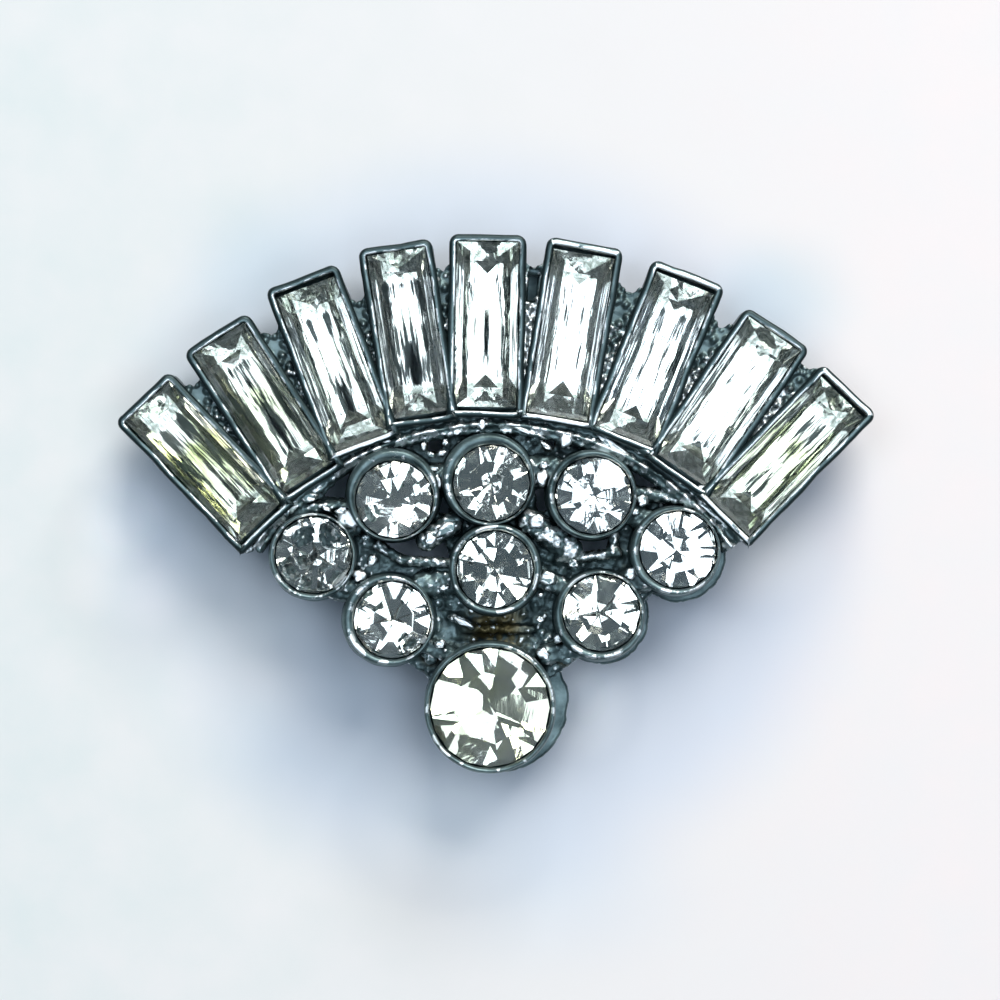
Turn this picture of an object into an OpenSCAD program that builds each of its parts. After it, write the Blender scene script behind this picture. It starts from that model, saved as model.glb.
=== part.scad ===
// A rhinestone brooch: nine long stones stand in a fan of cast boxes over nine round stones in cups.
// It lies on its back. z = 0 is the surface under the large cup and under the feet of the pin.

/* [Fan] */
// Angle from one baguette to the next, in degrees
fan_step = 10.75; // [10.7:0.05:10.9]
// Length of a baguette stone
baguette_len = 7.5; // [7.2:0.1:7.6]
// Free length in a box beyond its stone
box_play = 0.25; // [0.22:0.01:0.3]
// Thickness of the walls of a box
box_wall = 0.3; // [0.28:0.01:0.34]
// Height of the rim of the boxes above the surface
box_top = 5.2; // [5:0.05:5.4]

/* [Cups] */
// Height of the rim of the small cups
cup_top = 5.5; // [5.3:0.05:5.7]
// Height of the rim of the large cup
large_cup_top = 6; // [5.8:0.05:6.1]
// Radius of a small round stone
chaton_r = 1.74; // [1.7:0.01:1.76]
// Radius of the large round stone
large_r = 2.7; // [2.6:0.01:2.75]

/* [Casting] */
// Height of the flat back of the casting above the surface
back_z = 2.2; // [2:0.1:2.3]
// Thickness of the pierced web
web_t = 0.9; // [0.8:0.05:1]
// Radius of the arc band, at its outer edge
band_r = 14.05; // [13.9:0.05:14.1]
// Width of the arc band
band_w = 1.05; // [0.95:0.05:1.1]

/* [Pin] */
// Distance of the pin above the middle of the brooch
pin_y = 5; // [4.6:0.1:5.4]
// Length of the stem between its hinge foot and its catch
pin_span = 19; // [17:0.5:19.5]
// Diameter of the stem
stem_d = 0.7; // [0.6:0.05:0.8]

/* [Hidden] */
$fn = 64;

// Point that the rays of the fan leave from, and the middle of the arc band
fan_centre = [-0.27, -12.2];
band_centre = [-0.15, -9.8];

// The baguettes from left to right: distance of the stone's middle from the fan's centre, how far it sits
// off its even ray, how far it leans off that ray, its width, and how far its box lies outward of it
REACH = 0;
OFF_RAY = 1;
LEAN = 2;
WIDTH = 3;
BOX_OUT = 4;
BAGUETTES = [
    [19.2, 0.3, -0.7, 2.7, -0.08],
    [19.5, 0.3, -0.9, 2.75, -0.08],
    [19.85, 0.5, 0.6, 2.8, 0.08],
    [20.3, 0.2, 1.7, 2.68, -0.08],
    [20.35, -0.45, 1.5, 2.82, -0.08],
    [20.2, -0.3, -1, 2.8, 0.05],
    [20.2, 0.3, -0.2, 2.8, 0.08],
    [20, 0.5, 1.6, 2.8, -0.08],
    [19.65, 0.1, 0.9, 2.7, 0.08],
];

// How far the web reaches between each two boxes
WEB_REACH = [22.5, 22.6, 22.6, 23.3, 23.4, 23.1, 23.2, 23.7];

// The small cups: middle, outer radius, and how far the stone and its bore lie off the middle
CUP_AT = 0;
CUP_R = 1;
STONE_OFF = 2;
CUPS = [
    [[-4.7, 0.4], 2.12, [0.07, -0.22]],
    [[-0.35, 1.1], 2.12, [0.14, -0.18]],
    [[4.35, 0.4], 2.05, [0.09, -0.04]],
    [[-8.35, -2.4], 1.98, [0.06, 0.06]],
    [[-0.05, -3], 2.1, [0, 0]],
    [[8.15, -2.15], 2.05, [0.13, 0.04]],
    [[-4.9, -5.3], 2.1, [0.18, 0]],
    [[4.7, -5.1], 2.07, [0.09, 0.13]],
];
LARGE_CUP = [[-0.27, -9.25], 3, [0, 0]];

// Thin flanges of the back that show beside three cups: middle and radius
FLANGES = [
    [[8.35, -2.35], 2.2],
    [[4.85, -5.2], 2.18],
    [[0.05, -9.05], 3.3],
];
flange_t = 0.7;

// Struts between the cups: start, end, width and height of the top
STRUTS = [
    [[-9.3, -0.1], [-8.9, -1.4], 1.2, 4.5],
    [[-9, -0.2], [-6.4, -0.05], 0.45, 4.4],
    [[-7.6, -1.6], [-5.7, -0.5], 0.9, 4.6],
    [[-3.1, 1.2], [-2.2, 1.2], 1.1, 4.7],
    [[1.6, 1.5], [2.6, 1.5], 1.3, 4.7],
    [[6, -0.3], [7, -0.9], 1, 4.6],
    [[6.2, 0.5], [9.2, 0.2], 0.6, 4.5],
    [[-7.3, -3.8], [-6.2, -4], 1.2, 4.6],
    [[-3.3, -3.7], [-1.7, -3.5], 1.2, 4.2],
    [[1.8, -3.4], [3.1, -3.8], 0.8, 4.6],
    [[6.2, -3.5], [6.8, -3.4], 1.2, 4.4],
    [[-4.1, -6.2], [-2.1, -6.9], 0.7, 4.6],
    [[2.3, -6.9], [3.8, -6.6], 0.9, 4.4],
    [[-3.2, -1.7], [-2, -0.9], 0.9, 4.7],
    [[1.5, -0.8], [3.4, -2.1], 1.1, 4.7],
    [[-5.4, -1.9], [-4.3, -2.6], 0.4, 4.5],
    [[-4.3, -2.6], [-2, -2.75], 0.4, 4.5],
    [[2.9, -2.6], [5.5, -2.25], 0.4, 4.4],
    [[5.3, -2.2], [5.4, -1.4], 0.4, 4.3],
    [[-2, -5.2], [-1.1, -5.6], 0.35, 4],
];

// Nubs of metal on the struts and the band: middle, radius and height of the top
NUBS = [
    [[-9.5, -0.15], 0.42, 5],
    [[-11.3, -2], 0.3, 4.4],
    [[-6.7, -0.9], 0.45, 4.9],
    [[-6.8, -3.3], 0.42, 4.9],
    [[-6.3, -3.5], 0.35, 4.8],
    [[-2.9, 1.3], 0.32, 4.9],
    [[-0.7, 3.6], 0.25, 4.9],
    [[2, 1.4], 0.35, 4.9],
    [[2.9, 2.9], 0.4, 4.9],
    [[6.5, 0.2], 0.3, 4.9],
    [[-3, -1.7], 0.35, 5],
    [[1.8, -0.8], 0.38, 5],
    [[2.9, -2.2], 0.3, 4.9],
    [[2.5, -3.3], 0.35, 4.9],
    [[-2.4, -3.8], 0.22, 4.8],
    [[2.2, -6.7], 0.32, 4.8],
    [[-3.3, -6.2], 0.28, 4.9],
];

// Gaps cut right through the web: corners
GAPS = [
    [[-5.3, -1.7], [-4.6, -1.4], [-2.3, -1.7], [-2.1, -2.5], [-3.2, -2.75], [-4.2, -2.5]],
    [[3.4, -1.5], [5.3, -1.5], [5.1, -2.4], [3.4, -2.4]],
    [[-8, 0.3], [-6.5, 1.9], [-6.3, 0.2]],
    [[-3.15, 2.95], [-2.5, 2.95], [-2.5, 2.35], [-3.15, 2.35]],
    [[2.2, 3.05], [2.7, 3.05], [2.7, 2.45], [2.2, 2.45]],
    [[6.1, 1.7], [6.7, 1.8], [7.6, 0.7], [6.5, 0.7]],
    [[-2.75, 0.3], [-2.15, 0.3], [-2.15, -0.6], [-2.75, -0.4]],
    [[1.75, 0.7], [2.35, 0.7], [2.35, -0.4], [1.9, -0.4]],
];

// Free space round a stone, and the width of the ledge that it sits on
clearance = 0.05;
ledge_w = 0.32;

// Boxes: outer length, corner radius, and the heights of the stone's girdle, its ledge and the floor below
box_len = baguette_len + box_play + 2 * box_wall;
box_corner_r = 0.4;
box_girdle_z = box_top - 0.45;
box_ledge_z = box_girdle_z - 0.5;
box_floor_z = 3.15;

// Round stones: heights of crown and girdle, depth below the girdle, and where the girdle lies
chaton_crown_h = 0.6;
chaton_girdle_t = 0.15;
chaton_depth = 1.35;
chaton_girdle_z = cup_top - 0.45;
large_crown_h = 0.9;
large_girdle_t = 0.2;
large_depth = 2.1;
large_girdle_z = large_cup_top - 0.55;

// Plate of the fan between the boxes: height, inner radius, and the height of the bars across the gaps
wedge_top = back_z + 1.5;
bar_top = wedge_top + 0.6;
web_inner_r = 15.4;

// Arc band: half of its angle, its height, the ridge on its outer edge, and the beads along it
band_half_angle = 54.5;
band_top = box_top - 0.6;
ridge_w = 0.3;
ridge_out = 0.15;
band_beads = 27;
bead_r = 0.24;
bead_in = 0.55;

// Foot of the large cup, and the plinth round each small cup
foot_r = 1.7;
cup_plinth = 0.1;
cup_plinth_t = 1;

// Pin: plate under the back, feet that reach the surface
pin_plate_t = 0.5;
pin_plate_w = 1.9;
pin_gap = 0.05;
foot_radius = 0.85;
hinge_w = 1.9;
catch_w = 1.3;
post_w = 1.4;
point_len = 1;

// The ray angle, the lean and the middle of one baguette
function ray(i) = (i - 4) * fan_step + BAGUETTES[i][OFF_RAY];
function lean(i) = ray(i) + BAGUETTES[i][LEAN];
function along(angle) = [sin(angle), cos(angle)];
function baguette_at(i) = fan_centre + BAGUETTES[i][REACH] * along(ray(i));

// Places children over the middle of a baguette, turned so that +Y points outward along it
module at_baguette(i, out = 0)
    translate(baguette_at(i) + out * along(lean(i))) rotate(-lean(i)) children();

// Places children from the first z up to the second
module between(z0, z1) translate([0, 0, z0]) linear_extrude(z1 - z0) children();

// A rectangle about the origin whose two corners at the outer end are rounded
module box_plan(w, l, r) {
    translate([-w / 2, -l / 2]) square([w, l - r]);
    translate([-w / 2 + r, -l / 2]) square([w - 2 * r, l]);
    for (side = [-1, 1])
        translate([side * (w / 2 - r), l / 2 - r]) circle(r);
}

// A bar with round ends, seen from above
module bar_plan(from, to, w) {
    run = to - from;
    translate(from) circle(w / 2, $fn = 32);
    translate(to) circle(w / 2, $fn = 32);
    translate(from) rotate(atan2(run[1], run[0]))
        translate([0, -w / 2]) square([norm(run), w]);
}

// A wedge of the plane that opens upward from a point, half_angle to either side
module wedge_plan(from, half_angle, r)
    translate(from)
        polygon([
            [0, 0],
            [-r * sin(half_angle), r * cos(half_angle)],
            [-r * sin(half_angle / 2), r * cos(half_angle / 2) * 1.2],
            [0, r * 1.4],
            [r * sin(half_angle / 2), r * cos(half_angle / 2) * 1.2],
            [r * sin(half_angle), r * cos(half_angle)],
        ]);

// A ring about a point
module ring_plan(centre, outer, inner)
    translate(centre)
        difference() {
            circle(outer, $fn = 128);
            circle(inner, $fn = 128);
        }

// Outline of one box, wider by rim all round
module box_outline(i, rim) {
    w = BAGUETTES[i][WIDTH] + 2 * (clearance + box_wall + rim);
    at_baguette(i, BAGUETTES[i][BOX_OUT])
        box_plan(w, box_len + 2 * rim, box_corner_r + rim);
}

// Room for one baguette: the open box above the ledge, and a narrower well under the stone
module box_room(i) {
    w = BAGUETTES[i][WIDTH] + 2 * clearance;
    l = baguette_len + box_play;
    at_baguette(i, BAGUETTES[i][BOX_OUT])
        between(box_ledge_z, box_top + 1) box_plan(w, l, 0.06);
    at_baguette(i)
        between(box_floor_z, box_ledge_z + 0.1)
            square([w - 2 * ledge_w, baguette_len + 2 * clearance - 2 * ledge_w], center = true);
}

// Places children on the ray between two boxes
module on_gap_ray(i)
    translate(fan_centre) rotate(-(ray(i) + ray(i + 1)) / 2) children();

// Outline of the web between two boxes, bitten in at its edge
module gap_outline(i) {
    half_angle = (ray(i + 1) - ray(i)) / 2 + 0.4;
    bite_r = 0.45;
    on_gap_ray(i)
        difference() {
            intersection() {
                ring_plan([0, 0], WEB_REACH[i], web_inner_r);
                wedge_plan([0, 0], half_angle, 26);
            }
            translate([0, WEB_REACH[i] + 0.25]) circle(bite_r, $fn = 32);
        }
}

// Fan of the casting: webs and the plinths of the boxes in one plate, the boxes on it,
// and a low bar across each gap just inside the edge
module fan_body() {
    plinth = 0.08;
    bar_w = 0.35;
    bar_l = 1.9;
    between(back_z, wedge_top) {
        for (i = [0:7]) gap_outline(i);
        for (i = [0:8]) box_outline(i, plinth);
    }
    for (i = [0:8]) between(back_z, box_top) box_outline(i, 0);
    for (i = [0:7])
        on_gap_ray(i)
            between(back_z, bar_top)
                translate([-bar_l / 2, WEB_REACH[i] - 0.3 - bar_w]) square([bar_l, bar_w]);
}

// Arc band along the inner ends of the boxes, with a thin ridge at its outer edge
module arc_band() {
    ridge_r = band_r + ridge_out;
    between(back_z, band_top)
        intersection() {
            ring_plan(band_centre, band_r, band_r - band_w);
            wedge_plan(band_centre, band_half_angle, 16);
        }
    between(back_z, box_top)
        intersection() {
            ring_plan(band_centre, ridge_r, ridge_r - ridge_w);
            wedge_plan(band_centre, band_half_angle - 1, 16);
        }
    for (k = [0:band_beads - 1]) {
        turn = (k / (band_beads - 1) * 2 - 1) * (band_half_angle - 3);
        at = band_centre + (band_r - bead_in) * along(turn);
        translate([at[0], at[1], band_top]) sphere(bead_r, $fn = 24);
    }
}

// Pierced floor between the cups
module cup_web()
    between(back_z, back_z + web_t)
        difference() {
            polygon([
                [-9.2, -1.6], [-8.9, 0.8], [-5.5, 3], [0, 4], [5.5, 3], [8.9, 0.8], [9.2, -1.6],
                [5.9, -5.6], [0.8, -9.2], [-1.4, -9.2], [-5.9, -5.9],
            ]);
            for (corners = GAPS) polygon(corners);
        }

// One small cup, closed, with a low plinth
module cup_body(cup)
    translate(cup[CUP_AT]) {
        between(back_z, cup_top) circle(cup[CUP_R]);
        between(back_z, back_z + cup_plinth_t) circle(cup[CUP_R] + cup_plinth);
    }

// Room for a round stone in a cup: the bore round its girdle, and a narrower bore under the ledge
module cup_room(cup, stone_r, girdle_z, depth) {
    ledge_z = girdle_z - 0.17 * stone_r - 0.02;
    translate(cup[CUP_AT] + cup[STONE_OFF]) {
        between(ledge_z, girdle_z + 2) circle(stone_r + clearance);
        between(girdle_z - depth - 3 * clearance, ledge_z + 0.1) circle(stone_r - ledge_w);
    }
}

// The large cup narrows below the web to the flat foot that the brooch rests on
module large_cup_body() {
    translate(LARGE_CUP[CUP_AT])
        between(back_z, large_cup_top) circle(LARGE_CUP[CUP_R]);
    translate([LARGE_CUP[CUP_AT][0], LARGE_CUP[CUP_AT][1], 0])
        cylinder(h = back_z, r1 = foot_r, r2 = LARGE_CUP[CUP_R] - 0.15);
}

module cast_setting() color("#6b7a80")
    difference() {
        union() {
            fan_body();
            arc_band();
            cup_web();
            for (cup = CUPS) cup_body(cup);
            large_cup_body();
            for (f = FLANGES)
                translate(f[0]) between(back_z, back_z + flange_t) circle(f[1]);
            for (s = STRUTS)
                between(back_z, s[3]) bar_plan(s[0], s[1], s[2]);
            for (n = NUBS)
                translate([n[0][0], n[0][1], 0]) {
                    between(back_z, n[2] - n[1]) circle(0.85 * n[1], $fn = 32);
                    translate([0, 0, n[2] - n[1]]) sphere(n[1], $fn = 32);
                }
        }
        for (i = [0:8]) box_room(i);
        for (cup = CUPS) cup_room(cup, chaton_r, chaton_girdle_z, chaton_depth);
        cup_room(LARGE_CUP, large_r, large_girdle_z, large_depth);
    }

// Points of an upright rectangle outline or of a regular ring, all at one height
function rect_ring(w, l, z) = [[-w, -l, z], [w, -l, z], [w, l, z], [-w, l, z]] / 2
    + [for (k = [0:3]) [0, 0, z / 2]];
function round_ring(n, r, z, turn) =
    [for (k = [0:n - 1]) [r * cos(k * 360 / n + turn), r * sin(k * 360 / n + turn), z]];

// Step-cut stone about the origin, with the underside of its girdle at z = 0:
// a long table, four crown facets, a girdle, and a back of four facets that meet in a keel
module step_cut(w, l) {
    girdle_t = 0.2;
    crown_h = 0.55;
    crown_side = 0.32;
    crown_end = 0.8;
    back_angle = 42;
    keel_z = -w / 2 * tan(back_angle);
    points = concat(
        rect_ring(w - 2 * crown_side, l - 2 * crown_end, girdle_t + crown_h),
        rect_ring(w, l, girdle_t),
        rect_ring(w, l, 0),
        [[0, -(l - w) / 2, keel_z], [0, (l - w) / 2, keel_z]]
    );
    sides = [for (ring = [0:1], k = [0:3])
        [4 * ring + k, 4 * ring + (k + 1) % 4, 4 * ring + 4 + (k + 1) % 4, 4 * ring + 4 + k]];
    keel = [[8, 9, 12], [9, 10, 13, 12], [10, 11, 13], [11, 8, 12, 13]];
    polyhedron(points, concat([[3, 2, 1, 0]], sides, keel));
}

// Round stone about the origin, with the underside of its girdle at z = 0: an eight-sided table,
// eight main facets and eight small ones above and below a girdle of sixteen sides
module round_cut(r, crown_h, girdle_t, depth) {
    points = concat(
        round_ring(8, 0.56 * r, girdle_t + crown_h, 22.5),
        round_ring(16, r, girdle_t, 11.25),
        round_ring(16, r, 0, 11.25),
        round_ring(8, 0.12 * r, -depth, 22.5)
    );
    crown = [for (k = [0:7]) each [
        [k, (k + 1) % 8, 8 + (2 * k + 2) % 16, 8 + 2 * k + 1],
        [k, 8 + 2 * k + 1, 8 + 2 * k],
    ]];
    girdle = [for (j = [0:15]) [8 + j, 8 + (j + 1) % 16, 24 + (j + 1) % 16, 24 + j]];
    pavilion = [for (k = [0:7]) each [
        [24 + 2 * k + 1, 24 + (2 * k + 2) % 16, 40 + (k + 1) % 8, 40 + k],
        [24 + 2 * k, 24 + 2 * k + 1, 40 + k],
    ]];
    table = [[for (k = [7:-1:0]) k]];
    culet = [[for (k = [0:7]) 40 + k]];
    polyhedron(points, concat(table, crown, girdle, pavilion, culet));
}

module baguette(i) color("#dfe3d2")
    translate([0, 0, box_girdle_z])
        at_baguette(i) step_cut(BAGUETTES[i][WIDTH], baguette_len);

module chaton(cup) color("#e6ecef")
    translate([0, 0, chaton_girdle_z])
        translate(cup[CUP_AT] + cup[STONE_OFF])
            round_cut(chaton_r, chaton_crown_h, chaton_girdle_t, chaton_depth);

module chaton_large() color("#e9e8d8")
    translate([0, 0, large_girdle_z])
        translate(LARGE_CUP[CUP_AT] + LARGE_CUP[STONE_OFF])
            round_cut(large_r, large_crown_h, large_girdle_t, large_depth);

// Bar under the back, a hinge foot at the left, a closed catch at the right and the stem between them
module pin_back() color("#8d8f86")
    translate([0, pin_y, 0]) {
        plate_top = back_z - pin_gap;
        foot_x = pin_span / 2;
        translate([-foot_x - hinge_w / 2, -pin_plate_w / 2, plate_top - pin_plate_t])
            cube([pin_span + hinge_w, pin_plate_w, pin_plate_t]);
        // hinge foot: a knuckle across the pin, on a short post
        translate([-foot_x, hinge_w / 2, foot_radius])
            rotate([90, 0, 0]) cylinder(h = hinge_w, r = foot_radius);
        translate([-foot_x - post_w / 2, -hinge_w / 2 + 0.1, foot_radius])
            cube([post_w, hinge_w - 0.2, plate_top - foot_radius]);
        // catch: a rolled hook along the pin, on a short post
        translate([foot_x - catch_w / 2, 0, foot_radius])
            rotate([0, 90, 0]) cylinder(h = catch_w, r = foot_radius);
        translate([foot_x - catch_w / 2 + 0.1, -post_w / 4, foot_radius])
            cube([catch_w - 0.2, post_w / 2, plate_top - foot_radius]);
        // stem, with a short point beyond the catch
        translate([-foot_x, 0, foot_radius])
            rotate([0, 90, 0]) cylinder(h = pin_span + point_len, d = stem_d);
        translate([foot_x + point_len, 0, foot_radius])
            rotate([0, 90, 0]) cylinder(h = point_len, d1 = stem_d, d2 = 0.2);
    }

cast_setting();
baguette(0);  // baguette_1
baguette(1);  // baguette_2
baguette(2);  // baguette_3
baguette(3);  // baguette_4
baguette(4);  // baguette_5
baguette(5);  // baguette_6
baguette(6);  // baguette_7
baguette(7);  // baguette_8
baguette(8);  // baguette_9
chaton(CUPS[0]);  // chaton_upper_left
chaton(CUPS[1]);  // chaton_upper_middle
chaton(CUPS[2]);  // chaton_upper_right
chaton(CUPS[3]);  // chaton_left
chaton(CUPS[4]);  // chaton_middle
chaton(CUPS[5]);  // chaton_right
chaton(CUPS[6]);  // chaton_lower_left
chaton(CUPS[7]);  // chaton_lower_right
chaton_large();
pin_back();
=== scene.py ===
import math
import random
import bmesh
import bpy
from mathutils import Matrix, Vector, noise


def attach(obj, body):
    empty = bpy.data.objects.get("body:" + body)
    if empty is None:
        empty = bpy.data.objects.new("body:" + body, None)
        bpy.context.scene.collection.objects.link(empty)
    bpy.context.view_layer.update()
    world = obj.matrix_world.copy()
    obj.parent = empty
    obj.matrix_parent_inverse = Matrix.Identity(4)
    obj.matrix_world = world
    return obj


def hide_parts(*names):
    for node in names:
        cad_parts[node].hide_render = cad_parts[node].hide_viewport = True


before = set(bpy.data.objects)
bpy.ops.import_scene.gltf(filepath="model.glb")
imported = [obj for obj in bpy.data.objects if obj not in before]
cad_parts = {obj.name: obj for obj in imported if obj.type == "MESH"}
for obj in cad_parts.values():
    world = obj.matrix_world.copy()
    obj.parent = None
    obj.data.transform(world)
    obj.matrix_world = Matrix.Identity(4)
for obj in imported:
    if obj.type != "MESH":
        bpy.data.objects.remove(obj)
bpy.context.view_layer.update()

# Paper under the brooch: a sheet of smooth white paper. Its colour holds painted light and shade: it is painted
# cooler and darker towards the left, with painted bluish shade round the brooch, where the shade of the sky falls,
# and painted lighter patches in the brooch's shadow. It only carries the brooch and its shadow.
MM = 0.001


def linear(hex_colour):
    """An sRGB colour such as #E8F4F6 as linear red, green, blue and alpha."""
    parts = [int(hex_colour[k:k + 2], 16) / 255 for k in (1, 3, 5)]
    return [p / 12.92 if p <= 0.04045 else ((p + 0.055) / 1.055) ** 2.4 for p in parts] + [1.0]


def add(material, kind, inputs=None, **settings):
    """Adds one shader node with its settings. An input given as (node, output) is a link, others are values."""
    made = material.node_tree.nodes.new("ShaderNode" + kind)
    for key, value in settings.items():
        setattr(made, key, value)
    for key, value in (inputs or {}).items():
        if isinstance(value, tuple):
            material.node_tree.links.new(value[0].outputs[value[1]], made.inputs[key])
        else:
            made.inputs[key].default_value = value
    return made


MIXED = 2  # output of a mix node that carries its colour


def mix(material, factor, low, high, **settings):
    """Mixes two colours, each a hex colour, a list or a link, by a factor."""
    low, high = (linear(colour) if isinstance(colour, str) else colour for colour in (low, high))
    return add(material, "Mix", {"Factor": factor, 6: low, 7: high}, data_type="RGBA", **settings)


def new_material(name):
    """An empty node material."""
    material = bpy.data.materials.new(name)
    material.use_nodes = True
    material.node_tree.nodes.clear()
    return material


def place(name, bm, materials, smooth=False):
    """Makes an object of a mesh that is worked in millimetres, in its place in the frame."""
    bmesh.ops.scale(bm, vec=(MM, MM, MM), verts=bm.verts)
    mesh = bpy.data.meshes.new(name)
    bm.to_mesh(mesh)
    bm.free()
    for material in materials:
        mesh.materials.append(material)
    for face in mesh.polygons:
        face.use_smooth = smooth
    made = bpy.data.objects.new(name, mesh)
    bpy.context.scene.collection.objects.link(made)
    return made


# smooth wove paper: matt, with a faint mottling of its fibres about 3 mm across
paper = new_material("wove_paper_with_painted_shade")
spot = add(paper, "TexCoord")
fibres = add(paper, "TexNoise", {"Vector": (spot, "Object"), "Scale": 300.0, "Detail": 3.0})
across = add(paper, "SeparateXYZ", {"Vector": (spot, "Object")})
# painted light: the sheet is coloured cooler and darker towards the left, as if a cooler light fell there
painted_cool_side = add(paper, "MapRange", {"Value": (across, "X"), "From Min": -22 * MM, "From Max": 20 * MM})
cast = mix(paper, (painted_cool_side, "Result"), "#D7E2E1", "#F4EAE8")
tone = mix(paper, (fibres, "Fac"), (cast, MIXED), "#ECEAE9")
# painted shade and painted light on the sheet: soft tints that darken it bluish round the brooch and lighten
# patches of the brooch's cast shadow. Rows: middle, half width and half height in millimetres, share of that with
# the full tint, tint
PAINTED_SHADE_AND_LIGHT = [
    ((-0.7, -0.8), (19.8, 19.0), 0.7, (0.81, 0.89, 1.0)),
    ((-16.4, -2.2), (4.6, 4.6), 0.2, (1.3, 1.25, 1.22)),
    ((-12.8, -6.8), (5.5, 6.5), 0.2, (1.28, 1.2, 1.12)),
    ((-2.0, -14.6), (5.4, 4.3), 0.1, (1.5, 1.43, 1.34)),
    ((12.0, -1.7), (4.2, 3.8), 0.1, (1.35, 1.27, 1.16)),
    ((4.2, -9.0), (2.7, 3.4), 0.1, (1.5, 1.43, 1.34)),
    ((-17.4, -0.2), (2.8, 3.2), 0.1, (1.22, 1.2, 1.2)),
    ((13.0, 9.4), (4.6, 4.2), 0.1, (0.8, 0.9, 0.95)),
    ((3.0, -18.0), (8.5, 5.0), 0.0, (0.89, 0.945, 1.0)),
    ((-11.8, 11.8), (4.6, 4.0), 0.1, (0.9, 0.95, 0.97)),
]
for middle, reach, core, tint in PAINTED_SHADE_AND_LIGHT:
    spread = [1 / (reach[0] * MM), 1 / (reach[1] * MM), 0]
    centre = [middle[0] * MM, middle[1] * MM, 0]
    away = add(paper, "VectorMath", {0: (spot, "Object"), 1: centre}, operation="SUBTRACT")
    away = add(paper, "VectorMath", {0: (away, "Vector"), 1: spread}, operation="MULTIPLY")
    away = add(paper, "VectorMath", {0: (away, "Vector")}, operation="LENGTH")
    near = add(paper, "MapRange", {
        "Value": (away, "Value"), "From Min": 1.0, "From Max": core,
    }, interpolation_type="SMOOTHSTEP")
    tone = mix(paper, (near, "Result"), (tone, MIXED), [*tint, 1.0], blend_type="MULTIPLY")
sheet = add(paper, "BsdfPrincipled", {"Base Color": (tone, MIXED), "Roughness": 0.85})
add(paper, "OutputMaterial", {"Surface": (sheet, "BSDF")})
# half the side of the sheet, in millimetres
SHEET_HALF = 1500
bm = bmesh.new()
bmesh.ops.create_grid(bm, x_segments=1, y_segments=1, size=SHEET_HALF)
floor = place("paper_floor", bm, [paper])

# Camera: straight above the brooch at the photograph's distance, so that 45.5 mm fill the frame at the height
# of the stones.
CAMERA_HEIGHT = 250 * MM
CAMERA_AIM = (0.18 * MM, 0.16 * MM)
SENSOR = 36
FRAME_WIDTH = 45.45 * MM
STONE_HEIGHT = 5.2 * MM
camera_data = bpy.data.cameras.new("camera")
camera_data.sensor_width = SENSOR
camera_data.lens = SENSOR * (CAMERA_HEIGHT - STONE_HEIGHT) / FRAME_WIDTH
camera_data.clip_start = 0.01
camera = bpy.data.objects.new("camera", camera_data)
camera.location = (*CAMERA_AIM, CAMERA_HEIGHT)
bpy.context.scene.collection.objects.link(camera)
bpy.context.scene.camera = camera

# Light: soft panels hung in a broken ring round the camera, which leaves the sky right above the brooch dim,
# and one large warm window beyond its top edge that throws the shadow below it.
# Rows: name, direction that it hangs in and elevation in degrees, distance, width and height in metres,
# power in watts, colour
LAMPS = [
    ("window", 71, 43, 0.8, 0.48, 0.48, 6.6, "#FFFBF5"),
    ("panel_right", 6, 73, 0.9, 0.33, 0.33, 0.8, "#E4EFFC"),
    ("panel_upper_right", 48, 73, 0.9, 0.25, 0.25, 0.5, "#E4EFFC"),
    ("panel_upper_left", 136, 73, 0.9, 0.28, 0.28, 0.63, "#E4EFFC"),
    ("panel_left", 168, 73, 0.9, 0.3, 0.3, 0.8, "#E4EFFC"),
    ("panel_lower_right", -32, 73, 0.9, 0.3, 0.3, 0.8, "#E4EFFC"),
    ("panel_bottom", -78, 72, 0.9, 0.26, 0.24, 0.5, "#E4EFFC"),
]
for name, direction, elevation, distance, width, height, power, colour in LAMPS:
    direction, elevation = math.radians(direction), math.radians(elevation)
    lamp_data = bpy.data.lights.new(name, "AREA")
    lamp_data.shape = "RECTANGLE"
    lamp_data.size = width
    lamp_data.size_y = height
    lamp_data.energy = power
    lamp_data.color = linear(colour)[:3]
    lamp = bpy.data.objects.new(name, lamp_data)
    way = Vector((
        math.cos(direction) * math.cos(elevation), math.sin(direction) * math.cos(elevation), math.sin(elevation),
    ))
    lamp.location = way * distance
    lamp.rotation_mode = "QUATERNION"
    lamp.rotation_quaternion = way.to_track_quat("Z", "Y")
    bpy.context.scene.collection.objects.link(lamp)
world = bpy.data.worlds.new("pale_room")
bpy.context.scene.world = world
world.use_nodes = True
room = world.node_tree.nodes["Background"]
room.inputs["Color"].default_value = linear("#869CAE")
room.inputs["Strength"].default_value = 0.28
bpy.context.scene.view_settings.view_transform = "Standard"
bpy.context.scene.cycles.glossy_bounces = 12

# Long stones: step-cut strips of pressed clear glass, silvered and lacquered on the back, each glued in its
# box. Facets are ground on a plain block, so each is one flat face.
FAN_STEP = 10.75
FAN_CENTRE = Vector((-0.27, -12.2))
STONE_LENGTH = 7.5
BOX_GIRDLE = 4.75
GIRDLE_HEIGHT = 0.15
BLANK_DEPTH = 1.5
# each end facet of the crown runs in by this much for its height, so it slopes by 32 degrees
END_CROWN_RUN = 1.58
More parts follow.
